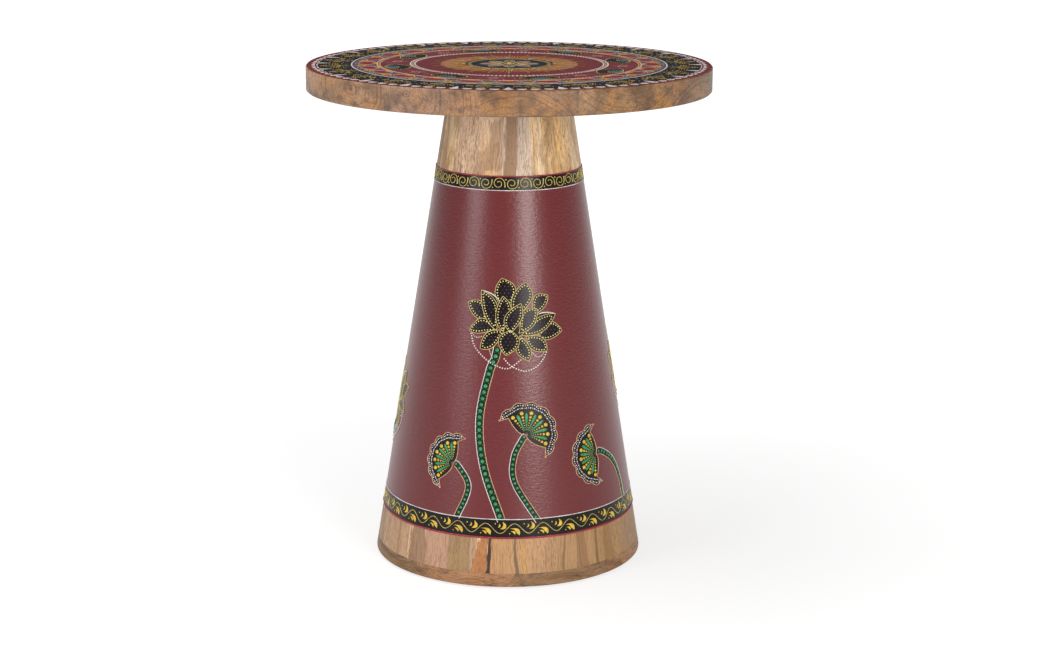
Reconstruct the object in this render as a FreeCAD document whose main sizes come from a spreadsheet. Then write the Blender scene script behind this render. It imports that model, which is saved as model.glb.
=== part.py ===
"""Round side table in mango wood: a turned, coopered cone carries a round top of edge-glued boards.

Millimetres, +Z up, origin on the floor at the middle of the foot. The front of the table faces -Y.
The boards of the top run from front to back. Angles round the cone are counted from +X towards +Y.
"""

import FreeCAD, Part
import os
import Sketcher

Vector = FreeCAD.Vector
UP = Vector(0, 0, 1)

doc = FreeCAD.newDocument("side_table")


# Driving dimensions

DRIVING_DIMENSIONS = {
    # Whole table
    "table_height": 560,
    # Top: boards, edge-glued and turned round
    "top_diameter": 450,
    "top_thickness": 27,
    "rim_chamfer": 1.2,
    "board_width": 100,
    "middle_joint": -28,
    # Dowels across the board joints
    "dowel_diameter": 8,
    "dowel_length": 40,
    "dowel_chamfer": 0.8,
    "dowel_pitch": 90,
    "dowel_rim_margin": 30,
    "dowel_end_gap": 0.5,
    # Cone: staves with mitred edges
    "cone_base_diameter": 305,
    "cone_top_diameter": 135,
    "stave_count": 16,
    "stave_wall": 22,
    "stave_turn": 7,
    # Head plate let into the top of the staves
    "head_thickness": 18,
    "head_seat": 8,
    "head_chamfer": 1,
    "seat_clearance": 0.2,
    # Ring of segments under the staves
    "ring_height": 15,
    "ring_width": 34,
    "ring_segments": 8,
    "ring_turn": 25.4,
    "ring_round": 2,
    # Wood screws
    "top_screw_count": 4,
    "top_screw_circle": 72,
    "top_screw_diameter": 4.5,
    "top_screw_head": 9,
    "top_screw_bite": 18,
    "ring_screw_diameter": 4,
    "ring_screw_head": 8,
    "ring_screw_bite": 30,
    "ring_screw_recess": 1,
    "hole_clearance": 0.1,
    # Felt pads under the ring
    "pad_diameter": 18,
    "pad_thickness": 1.5,
}

dims = doc.addObject("Spreadsheet::Sheet", "dims")
for row, (alias, value) in enumerate(DRIVING_DIMENSIONS.items(), start=1):
    dims.set(f"A{row}", alias)
    dims.set(f"B{row}", str(value))
    dims.setAlias(f"B{row}", alias)
doc.recompute()


def number(expression):
    """The value of an expression on the sheet."""
    return float(dims.evalExpression(str(expression)))


# Places that several pieces share, as expressions on the sheet

RING_FOOT = "dims.pad_thickness"
RING_TOP = f"({RING_FOOT} + dims.ring_height)"
TOP_UNDERSIDE = "(dims.table_height - dims.top_thickness)"
TOP_MIDDLE = "(dims.table_height - dims.top_thickness / 2)"
HEAD_UNDERSIDE = f"({TOP_UNDERSIDE} - dims.head_thickness)"
STAVE_STEP = "(360 / dims.stave_count)"
FRONT = -90


def cone_radius(height):
    """Outside radius of the cone at a height."""
    taper = f"(dims.cone_base_diameter - dims.cone_top_diameter) / 2 / ({TOP_UNDERSIDE} - {RING_FOOT})"
    return f"(dims.cone_base_diameter / 2 - {taper} * ({height} - {RING_FOOT}))"


def hollow_radius(height):
    """Inside radius of the staves at a height."""
    return f"({cone_radius(height)} - dims.stave_wall)"


SEAT_RADIUS = f"({hollow_radius(TOP_UNDERSIDE)} + dims.head_seat)"
RING_SCREW_RADIUS = f"({cone_radius(RING_TOP)} - dims.stave_wall / 2)"
PAD_RADIUS = "(dims.cone_base_diameter / 2 - dims.ring_width / 2)"


# Ways of making a piece

subparts = []


def finished(piece, label):
    """Names a piece and lists it as a sub-part of the table."""
    piece.Label = label
    subparts.append(piece)
    return piece


def origin_feature(body, role):
    return next(f for f in body.Origin.OriginFeatures if f.Role == role)


def turned(piece, angle):
    """Turns a piece about the table's axis by an angle bound to the sheet."""
    piece.Placement = FreeCAD.Placement(Vector(), FreeCAD.Rotation(UP, number(angle)))
    piece.setExpression("Placement.Rotation.Angle", str(angle))
    return piece


def half_section(body, corners, axis_at="0"):
    """A closed outline on the body's XZ plane, each corner's radius and height bound to the sheet."""
    sketch = body.newObject("Sketcher::SketchObject", f"{body.Name}_section")
    sketch.AttachmentSupport = [(origin_feature(body, "XZ_Plane"), "")]
    sketch.MapMode = "FlatFace"
    sketch.setExpression("AttachmentOffset.Base.x", str(axis_at))
    points = [Vector(number(radius), number(height), 0) for radius, height in corners]
    for start, end in zip(points, points[1:] + points[:1]):
        sketch.addGeometry(Part.LineSegment(start, end), False)
    for index, (radius, height) in enumerate(corners):
        following = (index + 1) % len(corners)
        sketch.addConstraint(Sketcher.Constraint("Coincident", index, 2, following, 1))
        for kind, place, value in (("DistanceX", radius, points[index].x), ("DistanceY", height, points[index].y)):
            bound = sketch.addConstraint(Sketcher.Constraint(kind, -1, 1, index, 1, value))
            sketch.setExpression(f"Constraints[{bound}]", str(place))
    return sketch


def revolved(name, corners, angle="360", axis_at="0"):
    """A body turned from a half section about the section's own upright axis."""
    body = doc.addObject("PartDesign::Body", name)
    body.AllowCompound = True
    section = half_section(body, corners, axis_at)
    turn = body.newObject("PartDesign::Revolution", f"{name}_turning")
    turn.Profile = (section, [""])
    turn.ReferenceAxis = (section, ["V_Axis"])
    turn.Midplane = True
    turn.setExpression("Angle", str(angle))
    doc.recompute()
    return body


def ring_of(body, count):
    """Repeats a turned body evenly round the table's axis."""
    turning = body.Tip
    pattern = body.newObject("PartDesign::PolarPattern", f"{body.Name}_pattern")
    pattern.Originals = [turning]
    pattern.Axis = (origin_feature(body, "Z_Axis"), [""])
    pattern.Angle = 360
    pattern.setExpression("Occurrences", count)
    body.Tip = pattern
    doc.recompute()
    return body


def cut_away(piece, tool):
    cut = doc.addObject("Part::Cut", f"{piece.Name}_cut")
    cut.Base = piece
    cut.Tool = tool
    return cut


def grouped(name, pieces):
    group = doc.addObject("Part::Compound", name)
    group.Links = pieces
    return group


# Wood screws, driven upwards with countersunk heads

def wood_screws(name, kind, circle_radius, head_face, length, count, angle):
    """A ring of screws, and a ring of cutters for their holes with the clearance all round."""
    shank = f"dims.{kind}_diameter / 2"
    head = f"dims.{kind}_head / 2"
    cone_top = f"{head_face} + {head} - {shank}"
    tip = f"{head_face} + {length}"
    screw = [("0", head_face), (head, head_face), (shank, cone_top), (shank, f"{tip} - dims.{kind}_diameter"),
             ("0", tip)]
    gap = "dims.hole_clearance"
    mouth = f"{head_face} - dims.{kind}_head"
    hole = [("0", mouth), (f"{head} + {gap}", mouth), (f"{head} + {gap}", head_face),
            (f"{shank} + {gap}", cone_top), (f"{shank} + {gap}", f"{tip} + {gap}"), ("0", f"{tip} + {gap}")]
    made = []
    for label, corners in ((name, screw), (f"{name}_holes", hole)):
        body = ring_of(revolved(label, corners, axis_at=circle_radius), count)
        made.append(turned(body, angle))
    return made


top_screws, top_screw_holes = wood_screws(
    "top_screws", "top_screw", "dims.top_screw_circle / 2", HEAD_UNDERSIDE,
    "dims.head_thickness + dims.top_screw_bite", "dims.top_screw_count", "0")
ring_screws, ring_screw_holes = wood_screws(
    "ring_screws", "ring_screw", RING_SCREW_RADIUS, f"({RING_FOOT} + dims.ring_screw_recess)",
    "dims.ring_height - dims.ring_screw_recess + dims.ring_screw_bite", "dims.stave_count",
    f"{FRONT} + dims.stave_turn")
finished(top_screws, "top_screws")
finished(ring_screws, "ring_screws")


# Top: a disc turned from boards that are joined with dowels

BOARD_COUNT = 5
JOINT_LEFT_OF_MIDDLE = 1


def joint_place(joint):
    """Where a board joint lies along X; joint 1 is the one left of the middle."""
    return f"(dims.middle_joint + ({joint - JOINT_LEFT_OF_MIDDLE}) * dims.board_width)"


RIM = "dims.top_diameter / 2"
EASED_RIM = f"({RIM} - dims.rim_chamfer)"
top_disc = revolved("top_disc", [
    ("0", TOP_UNDERSIDE), (EASED_RIM, TOP_UNDERSIDE), (RIM, f"{TOP_UNDERSIDE} + dims.rim_chamfer"),
    (RIM, "dims.table_height - dims.rim_chamfer"), (EASED_RIM, "dims.table_height"), ("0", "dims.table_height")])


def dowel_rod(name, joint, across, radius, length):
    """A rod through a board joint, half of it in each board."""
    rod = doc.addObject("Part::Cylinder", name)
    rod.setExpression("Radius", radius)
    rod.setExpression("Height", length)
    rod.Placement = FreeCAD.Placement(Vector(), FreeCAD.Rotation(Vector(0, 1, 0), 90))
    rod.setExpression("Placement.Base.x", f"{joint_place(joint)} - ({length}) / 2")
    rod.setExpression("Placement.Base.y", across)
    rod.setExpression("Placement.Base.z", TOP_MIDDLE)
    return rod


def dowel_places(joint):
    """Places along a joint, in pairs out from the middle, as far as the rim margin lets them go."""
    half_chord = (number(RIM) ** 2 - number(joint_place(joint)) ** 2) ** 0.5
    reach = half_chord - number("dims.dowel_rim_margin")
    steps = int(reach / number("dims.dowel_pitch") + 0.5)
    return [f"{side * (step + 0.5)} * dims.dowel_pitch" for step in range(steps) for side in (-1, 1)]


ROD_END_CIRCLES = (1, 3)
dowels, dowel_holes = [], []
for joint in range(BOARD_COUNT - 1):
    for number_along, across in enumerate(dowel_places(joint)):
        name = f"dowel_{joint}_{number_along}"
        rod = dowel_rod(name, joint, across, "dims.dowel_diameter / 2", "dims.dowel_length")
        dowel = doc.addObject("Part::Chamfer", f"{name}_chamfer")
        dowel.Base = rod
        chamfer = number("dims.dowel_chamfer")
        dowel.Edges = [(edge, chamfer, chamfer) for edge in ROD_END_CIRCLES]
        dowels.append(dowel)
        dowel_holes.append(dowel_rod(f"{name}_hole", joint, across,
                                     "dims.dowel_diameter / 2 + dims.hole_clearance",
                                     "dims.dowel_length + 2 * dims.dowel_end_gap"))
finished(grouped("board_dowels", dowels), "board_dowels")

board_holes = grouped("board_holes", dowel_holes + [top_screw_holes])
for board in range(BOARD_COUNT):
    plank = doc.addObject("Part::Box", f"plank_{board + 1}")
    left = joint_place(board - 1) if board > 0 else "-dims.top_diameter"
    right = joint_place(board) if board < BOARD_COUNT - 1 else "dims.top_diameter"
    plank.setExpression("Length", f"{right} - {left}")
    plank.setExpression("Width", "2 * dims.top_diameter")
    plank.setExpression("Height", "dims.top_thickness")
    plank.setExpression("Placement.Base.x", left)
    plank.setExpression("Placement.Base.y", "-dims.top_diameter")
    plank.setExpression("Placement.Base.z", TOP_UNDERSIDE)
    round_board = doc.addObject("Part::Common", f"round_board_{board + 1}")
    round_board.Base = top_disc
    round_board.Tool = plank
    finished(cut_away(round_board, board_holes), f"top_board_{board + 1}")


# Head plate: closes the top of the cone and takes the screws that hold the top

PLATE = f"({SEAT_RADIUS} - dims.seat_clearance)"
plate_blank = revolved("plate_blank", [
    ("0", HEAD_UNDERSIDE), (f"{PLATE} - dims.head_chamfer", HEAD_UNDERSIDE),
    (PLATE, f"{HEAD_UNDERSIDE} + dims.head_chamfer"), (PLATE, TOP_UNDERSIDE), ("0", TOP_UNDERSIDE)])
finished(cut_away(plate_blank, top_screw_holes), "head_plate")


# Staves: one turned wall, split by radial glue joints, with a rebate inside for the head plate

STAVE_SECTION = [
    (hollow_radius(RING_TOP), RING_TOP), (cone_radius(RING_TOP), RING_TOP),
    (cone_radius(TOP_UNDERSIDE), TOP_UNDERSIDE), (SEAT_RADIUS, TOP_UNDERSIDE),
    (SEAT_RADIUS, HEAD_UNDERSIDE), (hollow_radius(HEAD_UNDERSIDE), HEAD_UNDERSIDE)]
for stave in range(int(number("dims.stave_count"))):
    blank = revolved(f"stave_blank_{stave + 1}", STAVE_SECTION, STAVE_STEP)
    turned(blank, f"{FRONT} + dims.stave_turn + {stave} * {STAVE_STEP}")
    finished(cut_away(blank, ring_screw_holes), f"stave_{stave + 1:02d}")


# Foot ring: short curved segments, butted end to end, that carry on the cone's slope down to the floor

RING_HOLE = "(dims.cone_base_diameter / 2 - dims.ring_width)"
SEGMENT_STEP = "(360 / dims.ring_segments)"
RING_SECTION = [(RING_HOLE, RING_FOOT), ("dims.cone_base_diameter / 2", RING_FOOT),
                (cone_radius(RING_TOP), RING_TOP), (RING_HOLE, RING_TOP)]
OUTER_FOOT_LEAST = number(f"(dims.cone_base_diameter / 2 + {cone_radius(RING_TOP)}) / 2")
for segment in range(int(number("dims.ring_segments"))):
    blank = revolved(f"segment_blank_{segment + 1}", RING_SECTION, SEGMENT_STEP)
    turning = blank.Tip
    outer_foot = [f"Edge{n}" for n, edge in enumerate(turning.Shape.Edges, start=1)
                  if isinstance(edge.Curve, Part.Circle) and edge.Curve.Radius > OUTER_FOOT_LEAST]
    easing = blank.newObject("PartDesign::Fillet", f"{blank.Name}_easing")
    easing.Base = (turning, outer_foot)
    easing.setExpression("Radius", "dims.ring_round")
    blank.Tip = easing
    turned(blank, f"{FRONT} + dims.ring_turn + {segment} * {SEGMENT_STEP}")
    finished(cut_away(blank, ring_screw_holes), f"ring_segment_{segment + 1}")


# Felt pads: one under each segment, below a stave joint and so between two screws

pads = revolved("felt_pads", [("0", "0"), ("dims.pad_diameter / 2", "0"), ("dims.pad_diameter / 2", RING_FOOT),
                              ("0", RING_FOOT)], axis_at=PAD_RADIUS)
ring_of(pads, "dims.ring_segments")
finished(turned(pads, f"{FRONT} + dims.stave_turn + {STAVE_STEP} / 2"), "felt_pads")


# Checks, then one file for each sub-part

doc.recompute()
failed = [o.Label for o in doc.Objects if {"Invalid", "Error"} & set(o.State)]
failed += [p.Label for p in subparts if p.Shape.isNull() or not p.Shape.isValid() or not p.Shape.Solids]
if failed:
    raise RuntimeError(f"these did not build: {failed}")

os.makedirs("parts", exist_ok=True)
for piece in subparts:
    piece.Shape.exportStep(f"parts/{piece.Label}.step")
    print(f"{piece.Label}: {len(piece.Shape.Solids)} solids, {piece.Shape.Volume / 1000:.2f} cm3")
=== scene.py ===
import math
import bpy
import numpy as np
from mathutils import Matrix, Vector


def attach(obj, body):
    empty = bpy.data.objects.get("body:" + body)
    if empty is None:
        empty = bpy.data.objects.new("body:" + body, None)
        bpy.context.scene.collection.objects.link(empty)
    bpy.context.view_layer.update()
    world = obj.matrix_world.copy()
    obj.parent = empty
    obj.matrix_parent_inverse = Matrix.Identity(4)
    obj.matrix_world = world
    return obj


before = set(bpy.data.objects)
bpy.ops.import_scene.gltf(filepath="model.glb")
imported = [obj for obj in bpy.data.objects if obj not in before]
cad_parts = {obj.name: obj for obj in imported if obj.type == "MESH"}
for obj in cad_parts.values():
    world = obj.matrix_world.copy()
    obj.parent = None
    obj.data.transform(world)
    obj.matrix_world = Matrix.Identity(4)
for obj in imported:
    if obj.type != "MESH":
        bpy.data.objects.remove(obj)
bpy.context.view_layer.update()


# Foot ring
# Eight curved segments of solid mango wood, glued end to end and turned on the outside to the cone's slope.
# The grain runs along each segment, and a thin satin lacquer lets it show.

MM = 0.001


def linear(hex_colour):
    """An sRGB hex colour as the linear RGBA that a shader socket takes."""
    channels = [int(hex_colour[i:i + 2], 16) / 255 for i in (1, 3, 5)]
    return [c / 12.92 if c <= 0.04045 else ((c + 0.055) / 1.055) ** 2.4 for c in channels] + [1.0]


def node(tree, kind, fields, inputs):
    """Adds a shader node; an input that is a socket is linked, any other value is set."""
    made = tree.nodes.new("ShaderNode" + kind)
    for name, value in fields.items():
        setattr(made, name, value)
    for socket, value in inputs.items():
        if isinstance(value, bpy.types.NodeSocket):
            tree.links.new(value, made.inputs[socket])
        else:
            made.inputs[socket].default_value = value
    return made


def new_material(name):
    """A new material, with its node tree and its shader."""
    material = bpy.data.materials.new(name)
    material.use_nodes = True
    return material, material.node_tree, material.node_tree.nodes["Principled BSDF"]


def grain_turn(along, out):
    """The turn that lays a pattern's Z along the grain and its X towards the outside."""
    along = Vector(along).normalized()
    out = Vector(out)
    out = (out - along * out.dot(along)).normalized()
    return Matrix((out, along.cross(out), along)).transposed().to_euler()


def mango_wood(name, pith, turn, tones, ring_gap, seed, waver=22, speck=0.75, blotch=0.0,
               broad=1.0, figure=1.0, heart=0.0, flaws=(), cracks=()):
    """Mango wood under satin lacquer: tan and warm zones, grey stains, growth rings and dark pores.

    Sizes are millimetres in the board's own frame, with Z along the grain and the rings round the pith.
    Blotch deepens and broad enlarges the warm and stained zones, and figure scales how strongly rings and
    fibres show. A heart above zero is the radius of a dark pith with a ring round it. A flaw or a crack is a
    ragged streak along the grain: the height, the place across the board and the half width at its foot and
    at its head, and its colour."""
    material, tree, shader = new_material(name)
    light, mid, dark, warm = (linear(tone) for tone in tones)
    place = node(tree, "TexCoord", {}, {}).outputs["Object"]
    shifted = Vector(pith) * MM + turn.to_matrix().col[2] * 0.61 * seed
    local = node(tree, "Mapping", {"vector_type": "TEXTURE"},
                 {"Vector": place, "Location": shifted, "Rotation": turn, "Scale": (MM, MM, MM)}).outputs[0]

    def drift(start, across, lengthways, detail, output="Fac"):
        """A cloudy pattern with its size across the grain and along it."""
        squeezed = node(tree, "VectorMath", {"operation": "MULTIPLY"},
                        {0: start, 1: (1 / across, 1 / across, 1 / lengthways)}).outputs[0]
        cloud = node(tree, "TexNoise", {}, {"Vector": squeezed, "Scale": 1.0, "Detail": detail})
        return cloud.outputs[output]

    def stained(colour, tone, pattern, low, high, depth=1.0):
        """The colour with a tone laid over it where a pattern goes from low to high."""
        share = node(tree, "MapRange", {"interpolation_type": "SMOOTHSTEP"},
                     {0: pattern, 1: low, 2: high, 3: 0.0, 4: depth}).outputs[0]
        return node(tree, "Mix", {"data_type": "RGBA"}, {0: share, 6: colour, 7: tone}).outputs[2]

    # The fibres wander by some millimetres, so rings and streaks waver along the board
    wander = node(tree, "VectorMath", {"operation": "MULTIPLY_ADD"},
                  {0: drift(local, 42, 90, 3.0, "Color"), 1: (waver, waver, 0), 2: local}).outputs[0]
    flat = node(tree, "VectorMath", {"operation": "MULTIPLY"}, {0: wander, 1: (1, 1, 0)}).outputs[0]
    from_pith = node(tree, "VectorMath", {"operation": "LENGTH"}, {0: flat}).outputs["Value"]
    ring_count = node(tree, "Math", {"operation": "DIVIDE"}, {0: from_pith, 1: ring_gap}).outputs[0]
    rings = node(tree, "TexNoise", {"noise_dimensions": "1D"},
                 {"W": ring_count, "Scale": 1.0, "Detail": 3.0}).outputs["Fac"]
    colour = stained(mid, light, drift(wander, 26, 170, 3.0), 0.34, 0.64)
    warm_zones = drift(wander, 15 * broad, 130, 3.0)
    colour = stained(colour, warm, warm_zones, 0.5 - blotch, 0.72 - 2 * blotch, 0.8)
    grey_zones = drift(wander, 19 * broad, 120, 4.0)
    colour = stained(colour, dark, grey_zones, 0.53 - blotch, 0.74 - 2 * blotch, 0.62)
    colour = stained(colour, dark, drift(wander, 6.5, 70, 4.0), 0.46, 0.72, 0.5)
    colour = stained(colour, dark, rings, 0.48, 0.72, 0.5 * figure)
    if heart:
        from_ring = node(tree, "Math", {"operation": "SUBTRACT"}, {0: from_pith, 1: 2.5 * heart}).outputs[0]
        from_ring = node(tree, "Math", {"operation": "ABSOLUTE"}, {0: from_ring}).outputs[0]
        colour = stained(colour, dark, from_ring, 0.8 * heart, 0.1 * heart, 0.4)
        colour = stained(colour, linear("#6A3C28"), from_pith, 1.2 * heart, 0.5 * heart, 0.7)
    across = node(tree, "SeparateXYZ", {}, {0: wander}).outputs["Y"]
    tall = node(tree, "SeparateXYZ", {}, {0: place}).outputs["Z"]
    ragged = drift(local, 2.6, 16, 3.0)

    def streaked(colour, foot, foot_place, foot_half, head, head_place, head_half, stain):
        """The colour with one flaw or crack over it."""
        ends = {0: tall, 1: foot * MM, 2: head * MM}
        shift = waver / 2
        middle = node(tree, "MapRange", {}, ends | {3: foot_place + shift, 4: head_place + shift}).outputs[0]
        half = node(tree, "MapRange", {}, ends | {3: foot_half, 4: head_half}).outputs[0]
        off = node(tree, "Math", {"operation": "SUBTRACT"}, {0: across, 1: middle}).outputs[0]
        off = node(tree, "Math", {"operation": "ABSOLUTE"}, {0: off}).outputs[0]
        off = node(tree, "Math", {"operation": "SUBTRACT"}, {0: off, 1: half}).outputs[0]
        off = node(tree, "Math", {"operation": "MULTIPLY_ADD"}, {0: ragged, 1: 3.0, 2: off}).outputs[0]
        return stained(colour, linear(stain), off, 2.1, 0.9, 0.92)

    for flaw in flaws:
        colour = streaked(colour, *flaw)
    colour = stained(colour, dark, drift(wander, 1.5, 55, 3.0), 0.44, 0.74, 0.62 * figure)
    # Pores lie thick in some zones and thin in others, and the lacquer dips into them
    pores = node(tree, "MapRange", {"interpolation_type": "SMOOTHSTEP"},
                 {0: drift(local, 0.9, 5.5, 1.0), 1: 0.52, 2: 0.66, 3: 0.0, 4: speck}).outputs[0]
    thick = node(tree, "MapRange", {},
                 {0: drift(wander, 26, 120, 2.0), 1: 0.4, 2: 0.6, 3: 0.35, 4: 1.0}).outputs[0]
    pores = node(tree, "Math", {"operation": "MULTIPLY"}, {0: pores, 1: thick}).outputs[0]
    colour = node(tree, "Mix", {"data_type": "RGBA"}, {0: pores, 6: colour, 7: dark}).outputs[2]
    for crack in cracks:
        colour = streaked(colour, *crack)
    tree.links.new(colour, shader.inputs["Base Color"])
    shader.inputs["Roughness"].default_value = 0.5
    shader.inputs["IOR"].default_value = 1.48
    grain = node(tree, "Bump", {"invert": True}, {"Strength": 0.35, "Distance": 0.15 * MM, "Height": pores})
    tree.links.new(grain.outputs[0], shader.inputs["Normal"])
    return material


def wear(cad_node, material):
    """Gives a CAD node its finished material."""
    cad_node.data.materials.clear()
    cad_node.data.materials.append(material)


def round_the_cone(turn):
    """Outward and sideways directions at an angle, in degrees, from the front towards +X."""
    angle = math.radians(turn)
    return Vector((math.sin(angle), -math.cos(angle), 0)), Vector((math.cos(angle), math.sin(angle), 0))


RING_TURN = 25.4
RING_STEP = 45
RING_TONES = [("#A47E58", "#846442", "#4A3424", "#986C3A"), ("#BC8A60", "#9A6C46", "#523826", "#B0743E"),
              ("#B88A60", "#94694A", "#4F3828", "#AC784A")]
for segment in range(8):
    out, side = round_the_cone(RING_TURN + RING_STEP * segment)
    pith = out * (100 + 12 * (segment % 4)) + Vector((0, 0, -24))
    wood = mango_wood(f"mango_wood_turned_ring_{segment + 1}", pith, grain_turn(side, out),
                      RING_TONES[segment % 3], ring_gap=6.0, seed=segment + 1, blotch=0.02)
    wear(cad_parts[f"ring_segment_{segment + 1}"], wood)


# Felt pads and the screws of the ring
# Die-cut pads of pressed wool felt, glued under the ring; zinc-plated countersunk screws, driven from below.

def pressed_felt(name):
    """Pressed wool felt: matt, with a mottled fibre mat about a millimetre across."""
    material, tree, shader = new_material(name)
    place = node(tree, "TexCoord", {}, {}).outputs["Object"]
    fibres = node(tree, "TexNoise", {}, {"Vector": place, "Scale": 900.0, "Detail": 4.0})
    mottle = node(tree, "Mix", {"data_type": "RGBA"},
                  {0: fibres.outputs["Fac"], 6: linear("#2B2521"), 7: linear("#5A4F46")})
    tree.links.new(mottle.outputs[2], shader.inputs["Base Color"])
    shader.inputs["Roughness"].default_value = 0.95
    shader.inputs["Sheen Weight"].default_value = 0.3
    nap = node(tree, "Bump", {}, {"Strength": 0.6, "Distance": 0.3 * MM, "Height": fibres.outputs["Fac"]})
    tree.links.new(nap.outputs[0], shader.inputs["Normal"])
    return material


def zinc_plate(name):
    """Zinc-plated steel: a pale metal with faint turning marks, a fraction of a millimetre apart."""
    material, tree, shader = new_material(name)
    place = node(tree, "TexCoord", {}, {}).outputs["Object"]
    marks = node(tree, "TexNoise", {}, {"Vector": place, "Scale": 1500.0, "Detail": 2.0}).outputs["Fac"]
    shader.inputs["Base Color"].default_value = linear("#BDBBB2")
    shader.inputs["Metallic"].default_value = 1.0
    rough = node(tree, "MapRange", {}, {0: marks, 3: 0.28, 4: 0.45}).outputs[0]
    tree.links.new(rough, shader.inputs["Roughness"])
    return material


wear(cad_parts["felt_pads"], pressed_felt("wool_felt_pressed"))
screw_zinc = zinc_plate("steel_zinc_plated")
wear(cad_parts["ring_screws"], screw_zinc)


# Staves of the cone
# Sixteen staves of mango wood with mitred edges, glued up like a barrel and turned to a straight cone.
# The grain runs up each stave. They differ in tone, and they stay bare at the collar and at the foot.

STAVE_STEP = 22.5
STAVE_TURN = 7.0
CONE_SLOPE = 85 / 531.5
CONE_APEX = 1.5 + 152.5 / CONE_SLOPE
HALF_ANGLE = math.atan(CONE_SLOPE)


def cone_radius(height):
    """Outside radius of the bare cone at a height, in millimetres."""
    return (CONE_APEX - height) * CONE_SLOPE


# These tones are set light and show bare at the collar: partly the wood's own tone, partly painted light
# against the top's shade.
STAVE_TONES_AND_COLLAR_LIGHT = {
    "tan": ("#FBD9B6", "#EABF98", "#84604A", "#EEC086"),
    "pink": ("#EAC6AC", "#D6AA8C", "#8E6A58", "#DCAA80"),
    "grey": ("#F0DCC8", "#D8BFA6", "#7A6452", "#DEC6AA"),
    "brown": ("#C9A27A", "#A7815C", "#5E4431", "#BA8C58"),
    "gold": ("#FFE3B9", "#F6CD98", "#8E6642", "#FACB82"),
}
# The fourth stave, at the collar's right edge, is gold there, partly painted light where that edge turns from
# the lamps.
STAVE_ORDER = ["grey", "gold", "gold", "gold", "pink", "gold", "brown", "tan",
               "grey", "tan", "gold", "pink", "brown", "gold", "tan", "tan"]
# The widest streaks cover the foot, so the foot keeps a darker tone than the lightened collar.
STAVE_FLAWS = {
    # Streaks seen at the foot and the collar, by stave; a half width below zero lets a streak die out
    0: [(10, 0, 32, 447, 0, -8, "#C8945E"), (10, -6, 2.6, 300, 0, -8, "#7A5F44"),
        (10, 1.5, 3.2, 300, 6, -8, "#D2A05A"), (60, -6.5, -8, 447, -6.5, 6.5, "#A27C58")],
    1: [(10, 2, 36, 447, 2, -8, "#B88E62"), (10, 14, 9, 300, 12, -6, "#A07A54"),
        (10, -12, 2.0, 300, 10, -6, "#8E6C48"), (10, 12, 1.5, 300, -8, -5, "#8C6A4A")],
    2: [(10, 0, 38, 447, 0, -8, "#B0885C"), (10, -24, 2.2, 500, -12, -3, "#82643F"),
        (10, -4, 8, 300, -4, -9, "#A37C4A"), (10, 12, 2.6, 300, 12, -6, "#CC9E58")],
    3: [(10, 0, 38, 447, 0, -8, "#A8845E")],
    13: [(10, 0, 38, 447, 0, -8, "#CBA07C"), (10, 10, 3, 300, 10, -6, "#B4895E")],
    14: [(10, 13, 17, 447, 13, -8, "#C69A7C"), (10, -22, 3.5, 400, -14, -6, "#A97C48"),
         (10, -10, 10, 400, -10, -8, "#A68264")],
    15: [(10, -16, 16, 447, -16, -8, "#A78558"), (10, 24, 10, 447, 24, -8, "#CE9866"),
         (10, 5.8, 7.1, 158, 24.7, -3, "#C07C42"), (10, -1.6, 0.5, 158, 27.5, -2.4, "#5A3A26")],
}
STAVE_CRACKS = {15: [(10, 14.8, 2.0, 158, 24, 0.2, "#1C110C")]}
for stave, tone in enumerate(STAVE_ORDER):
    out, side = round_the_cone(STAVE_TURN + STAVE_STEP * stave)
    up_the_stave = Vector((0, 0, 1)) - out * CONE_SLOPE
    flaws = STAVE_FLAWS.get(stave, ())
    pith = out * (95 - 9 * (stave % 5)) + side * (0 if flaws else 14 * (stave % 3) - 14)
    wood = mango_wood(f"mango_wood_turned_stave_{stave + 1:02d}", pith, grain_turn(up_the_stave, out),
                      STAVE_TONES_AND_COLLAR_LIGHT[tone], ring_gap=5.0, seed=stave + 11, flaws=flaws,
                      cracks=STAVE_CRACKS.get(stave, ()))
    wear(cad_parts[f"stave_{stave + 1:02d}"], wood)


# Maroon ground coat of the cone
# Satin maroon paint, brushed on while the cone turned on the lathe, from the lower border to the collar.
# The bristles leave low ridges, a few millimetres apart, that catch the light.

COAT_FOOT = 55.0
COAT_HEAD = 448.0
COAT_LIFT = 0.12


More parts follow.
